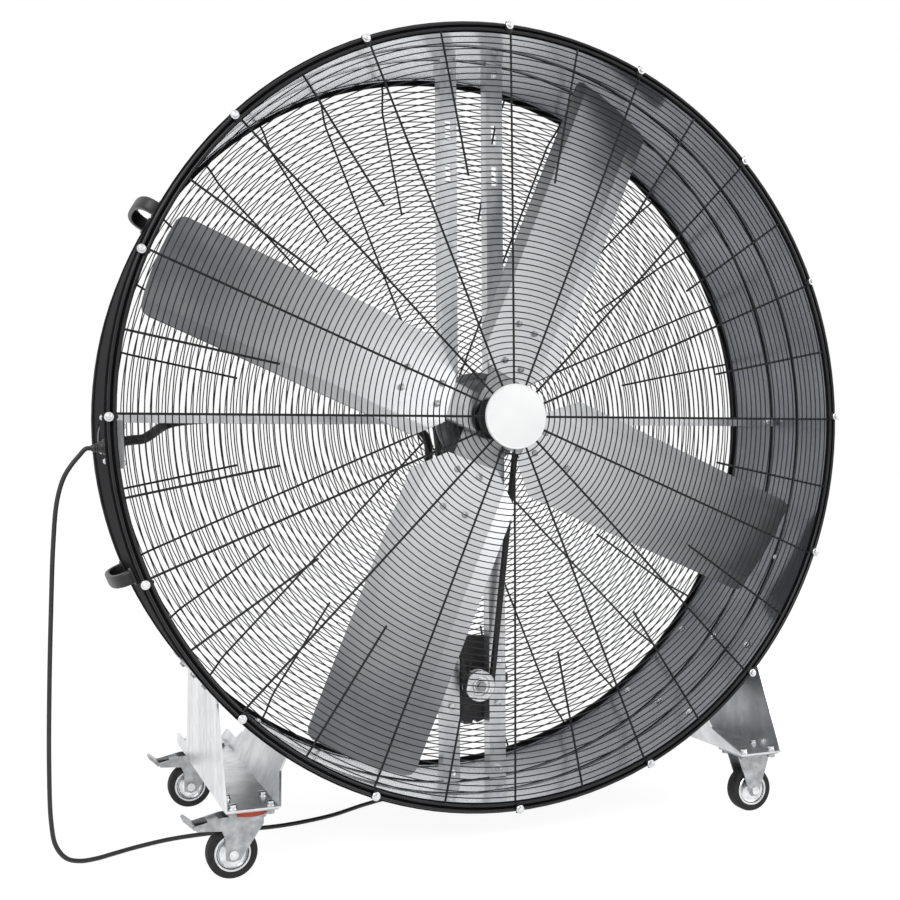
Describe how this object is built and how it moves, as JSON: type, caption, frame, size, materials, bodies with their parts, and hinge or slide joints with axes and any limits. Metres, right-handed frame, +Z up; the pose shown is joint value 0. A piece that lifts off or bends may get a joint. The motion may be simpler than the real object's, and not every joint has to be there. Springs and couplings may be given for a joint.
{
  "type": "drum fan",
  "caption": "Round drum fan on a wheeled base: belt-driven blades behind wire guards, steel support rails, side handles, two swivel casters with brakes and two fixed ones.",
  "frame": {"origin": "on the floor, under the middle of the two leg bases", "axes": "+Z up, +Y from the front guard to the rear guard (air is blown towards -Y), +X to the right as seen from the front"},
  "size_m": [1.3681, 0.476, 1.3319],
  "materials": {
    "drum_paint": "gloss black paint, lighter inside the drum",
    "guard_wire": "black powder-coated wire",
    "badge_face": "plain white disc",
    "galvanised": "bright galvanised sheet",
    "blade_sheet": "satin grey sheet",
    "hub_casting": "dark cast metal",
    "bright_steel": "machined steel",
    "motor_paint": "satin black paint",
    "belt_rubber": "matt black rubber",
    "tyre_rubber": "black rubber tread",
    "black_plastic": "fine matt black plastic",
    "cord_sheath": "black flexible sheath",
    "switch_case": "light grey metal box",
    "ring_plastic": "red-orange plastic seal"
  },
  "bodies": {
    "chassis": {"drum_shell": "drum_paint", "front_guard": "guard_wire", "rear_guard": "guard_wire", "guard_badge": "badge_face", "left_rail": "galvanised", "right_rail": "galvanised", "left_strut": "galvanised", "right_strut": "galvanised", "bearing_housing": "hub_casting", "front_bearing": "bright_steel", "rear_bearing": "bright_steel", "drive_belt": "belt_rubber", "motor_plate": "galvanised", "motor_body": "motor_paint", "motor_cowl": "motor_paint", "terminal_box": "motor_paint", "motor_conduit": "black_plastic", "switch_box": "switch_case", "cord_gland": "black_plastic", "power_cord": "cord_sheath", "cord_coil": "cord_sheath", "power_plug": "black_plastic", "upper_handle": "black_plastic", "lower_handle": "black_plastic", "left_leg": "galvanised", "right_leg": "galvanised", "front_left_mount_plate": "galvanised", "rear_left_mount_plate": "galvanised", "front_left_swivel_ring": "ring_plastic", "rear_left_swivel_ring": "ring_plastic", "front_right_fork": "galvanised", "rear_right_fork": "galvanised", "front_right_axle": "bright_steel", "rear_right_axle": "bright_steel"},
    "fan": {"fan_shaft": "bright_steel", "fan_hub": "hub_casting", "blade_1": "blade_sheet", "blade_2": "blade_sheet", "blade_3": "blade_sheet", "blade_4": "blade_sheet", "driven_pulley": "hub_casting"},
    "motor_rotor": {"motor_shaft": "bright_steel", "motor_pulley": "bright_steel"},
    "rocker": {"switch_rocker": "black_plastic"},
    "front_left_swivel": {"front_left_fork": "galvanised", "front_left_axle": "bright_steel"},
    "front_left_pedal": {"front_left_brake_pedal": "bright_steel"},
    "rear_left_swivel": {"rear_left_fork": "galvanised", "rear_left_axle": "bright_steel"},
    "rear_left_pedal": {"rear_left_brake_pedal": "bright_steel"},
    "front_left_wheel": {"front_left_rim": "bright_steel", "front_left_tyre": "tyre_rubber"},
    "rear_left_wheel": {"rear_left_rim": "bright_steel", "rear_left_tyre": "tyre_rubber"},
    "front_right_wheel": {"front_right_rim": "bright_steel", "front_right_tyre": "tyre_rubber"},
    "rear_right_wheel": {"rear_right_rim": "bright_steel", "rear_right_tyre": "tyre_rubber"}
  },
  "joints": [
    {"name": "fan_spin", "type": "hinge", "parent": "chassis", "child": "fan", "pos_m": [0, 0, 0.6865], "axis": [0, 1, 0], "continuous": true},
    {"name": "motor_spin", "type": "hinge", "parent": "chassis", "child": "motor_rotor", "pos_m": [0, 0, 0.2205], "axis": [0, 1, 0], "continuous": true},
    {"name": "switch_rock", "type": "hinge", "parent": "chassis", "child": "rocker", "pos_m": [-0.63489, -0.039, 0.6605], "axis": [0, -1, 0], "range_deg": [0, 14]},
    {"name": "front_left_swivel_turn", "type": "hinge", "parent": "chassis", "child": "front_left_swivel", "pos_m": [-0.442, -0.198, 0.105], "axis": [0, 0, 1], "continuous": true},
    {"name": "front_left_wheel_roll", "type": "hinge", "parent": "front_left_swivel", "child": "front_left_wheel", "pos_m": [-0.467, -0.198, 0.038], "axis": [0, 1, 0], "continuous": true},
    {"name": "front_left_pedal_press", "type": "hinge", "parent": "front_left_swivel", "child": "front_left_pedal", "pos_m": [-0.484, -0.198, 0.086], "axis": [0, -1, 0], "range_deg": [0, 15]},
    {"name": "rear_left_swivel_turn", "type": "hinge", "parent": "chassis", "child": "rear_left_swivel", "pos_m": [-0.442, 0.198, 0.105], "axis": [0, 0, 1], "continuous": true},
    {"name": "rear_left_wheel_roll", "type": "hinge", "parent": "rear_left_swivel", "child": "rear_left_wheel", "pos_m": [-0.467, 0.198, 0.038], "axis": [0, 1, 0], "continuous": true},
    {"name": "rear_left_pedal_press", "type": "hinge", "parent": "rear_left_swivel", "child": "rear_left_pedal", "pos_m": [-0.484, 0.198, 0.086], "axis": [0, -1, 0], "range_deg": [0, 15]},
    {"name": "front_right_wheel_roll", "type": "hinge", "parent": "chassis", "child": "front_right_wheel", "pos_m": [0.442, -0.198, 0.038], "axis": [0, 1, 0], "continuous": true},
    {"name": "rear_right_wheel_roll", "type": "hinge", "parent": "chassis", "child": "rear_right_wheel", "pos_m": [0.442, 0.198, 0.038], "axis": [0, 1, 0], "continuous": true}
  ],
  "couplings": [
    {"joint": "motor_spin", "follows": "fan_spin", "ratio": 3.2154}
  ]
}
